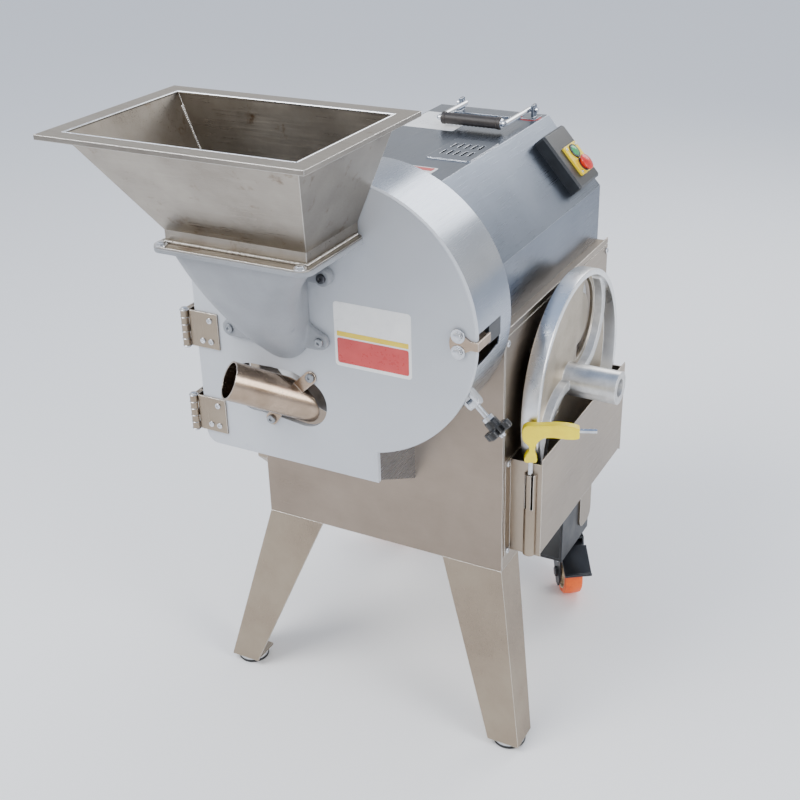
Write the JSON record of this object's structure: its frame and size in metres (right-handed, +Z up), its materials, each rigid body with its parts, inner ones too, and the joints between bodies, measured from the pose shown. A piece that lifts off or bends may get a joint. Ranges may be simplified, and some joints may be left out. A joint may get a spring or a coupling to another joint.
{
  "type": "vegetable slicer",
  "caption": "Belt-driven vegetable slicer: hopper and feed tube on a hinged door, disc chamber, lift-off hood, spare disc rack, front legs and braked rear castors.",
  "frame": {"origin": "middle of the footprint box, on the floor", "axes": "+X to the machine's right as seen from the door side, +Y to the back, +Z up"},
  "size_m": [0.575, 0.7738, 0.964],
  "materials": {
    "stainless": "brushed",
    "zinc_steel": "bright",
    "black_oxide": "satin",
    "grey_enamel": "satin",
    "frame_paint": "satin",
    "cast_iron": "matte",
    "belt_rubber": "matte",
    "cast_aluminium": "machined",
    "blade_steel": "ground",
    "black_steel": "satin",
    "orange_tread": "satin",
    "chrome": "polished",
    "grip_rubber": "matte",
    "yellow_plastic": "gloss",
    "green_plastic": "gloss",
    "red_plastic": "gloss"
  },
  "bodies": {
    "machine": {"front_panel": "stainless", "cabinet_shell": "stainless", "right_side_panel": "stainless", "left_side_cover": "stainless", "rear_panel": "stainless", "panel_screws": "zinc_steel", "base_frame": "frame_paint", "front_bearing_block": "frame_paint", "rear_bearing_block": "frame_paint", "motor": "frame_paint", "drive_belt": "belt_rubber", "chamber_shell": "stainless", "interlock_switch": "belt_rubber", "hinge_fixed_leaves": "stainless", "hinge_pins": "zinc_steel", "swing_bolt_bracket": "zinc_steel", "disc_rack": "stainless", "tool_holder": "stainless", "front_leg_left": "stainless", "front_leg_right": "stainless", "foot_pads": "belt_rubber", "rear_leg_left": "stainless", "rear_leg_right": "stainless", "castor_mounts": "black_steel"},
    "door": {"door_plate": "grey_enamel", "cast_chute": "grey_enamel", "socket_screws": "black_oxide", "feed_tube": "stainless", "hopper": "stainless", "door_bolts": "zinc_steel", "door_catch": "stainless", "hinge_door_leaves": "stainless", "hinge_screws": "zinc_steel"},
    "spindle": {"main_shaft": "zinc_steel", "driven_pulley": "cast_iron", "cutter_disc": "cast_aluminium", "cutter_blades": "blade_steel", "disc_bolt": "zinc_steel"},
    "motor_rotor": {"motor_shaft": "zinc_steel", "motor_pulley": "cast_iron"},
    "hood": {"hood": "stainless", "switch_box": "belt_rubber", "switch_face": "yellow_plastic", "handle_bracket": "stainless"},
    "handle": {"bail": "chrome", "bail_grip": "grip_rubber"},
    "start_button": {"start_button": "green_plastic"},
    "stop_button": {"stop_button": "red_plastic"},
    "swing_bolt": {"swing_bolt": "zinc_steel"},
    "star_knob": {"star_knob": "belt_rubber"},
    "spare_disc": {"spare_disc": "cast_aluminium", "spare_blades": "blade_steel"},
    "hex_key": {"hex_key": "zinc_steel", "hex_key_grip": "yellow_plastic"},
    "castor_left": {"castor_fork_left": "black_steel"},
    "castor_wheel_left": {"castor_wheel_left": "orange_tread"},
    "castor_brake_left": {"castor_brake_left": "black_steel"},
    "castor_right": {"castor_fork_right": "black_steel"},
    "castor_wheel_right": {"castor_wheel_right": "orange_tread"},
    "castor_brake_right": {"castor_brake_right": "black_steel"}
  },
  "joints": [
    {"name": "door_hinge", "type": "hinge", "parent": "machine", "child": "door", "pos_m": [-0.26651, -0.14945, 0.6], "axis": [0, 0, -1], "range_deg": [0, 110]},
    {"name": "spindle_spin", "type": "hinge", "parent": "machine", "child": "spindle", "pos_m": [-0.01151, -0.03295, 0.684], "axis": [0, 1, 0], "continuous": true},
    {"name": "motor_spin", "type": "hinge", "parent": "machine", "child": "motor_rotor", "pos_m": [-0.01151, -0.03295, 0.392], "axis": [0, 1, 0], "continuous": true},
    {"name": "hood_lift", "type": "slide", "parent": "machine", "child": "hood", "axis": [0, 0, 1], "range_m": [0, 0.26]},
    {"name": "handle_fold", "type": "hinge", "parent": "hood", "child": "handle", "pos_m": [-0.01151, 0.35105, 0.853], "axis": [-1, 0, 0], "range_deg": [0, 90]},
    {"name": "start_press", "type": "slide", "parent": "hood", "child": "start_button", "axis": [-0.7498, 0, -0.6616], "range_m": [0, 0.003], "stiffness_N_per_m": 300},
    {"name": "stop_press", "type": "slide", "parent": "hood", "child": "stop_button", "axis": [-0.7498, 0, -0.6616], "range_m": [0, 0.003], "stiffness_N_per_m": 300},
    {"name": "swing_bolt_turn", "type": "hinge", "parent": "machine", "child": "swing_bolt", "pos_m": [0.16949, -0.12795, 0.596], "axis": [-0.6947, 0, -0.7193], "range_deg": [0, 90]},
    {"name": "star_knob_spin", "type": "hinge", "parent": "swing_bolt", "child": "star_knob", "pos_m": [0.19107, -0.12795, 0.57516], "axis": [0.7193, 0, -0.6947], "continuous": true},
    {"name": "spare_disc_lift", "type": "slide", "parent": "machine", "child": "spare_disc", "axis": [0, 0, 1], "range_m": [0, 0.2]},
    {"name": "hex_key_lift", "type": "slide", "parent": "machine", "child": "hex_key", "axis": [0, 0, 1], "range_m": [0, 0.16]},
    {"name": "castor_swivel_left", "type": "hinge", "parent": "machine", "child": "castor_left", "pos_m": [-0.19351, 0.35005, 0.126], "axis": [0, 0, 1], "continuous": true},
    {"name": "castor_roll_left", "type": "hinge", "parent": "castor_left", "child": "castor_wheel_left", "pos_m": [-0.21443, 0.35188, 0.041], "axis": [0.0872, 0.9962, 0], "continuous": true},
    {"name": "castor_brake_left_press", "type": "hinge", "parent": "castor_left", "child": "castor_brake_left", "pos_m": [-0.21144, 0.35162, 0.098], "axis": [-0.0872, -0.9962, 0], "range_deg": [0, 8]},
    {"name": "castor_swivel_right", "type": "hinge", "parent": "machine", "child": "castor_right", "pos_m": [0.13449, 0.35005, 0.126], "axis": [0, 0, 1], "continuous": true},
    {"name": "castor_roll_right", "type": "hinge", "parent": "castor_right", "child": "castor_wheel_right", "pos_m": [0.14623, 0.33264, 0.041], "axis": [-0.829, -0.5592, 0], "continuous": true},
    {"name": "castor_brake_right_press", "type": "hinge", "parent": "castor_right", "child": "castor_brake_right", "pos_m": [0.14456, 0.33513, 0.098], "axis": [0.829, 0.5592, 0], "range_deg": [0, 8]}
  ],
  "couplings": [
    {"joint": "motor_spin", "follows": "spindle_spin", "ratio": 2.6364}
  ]
}
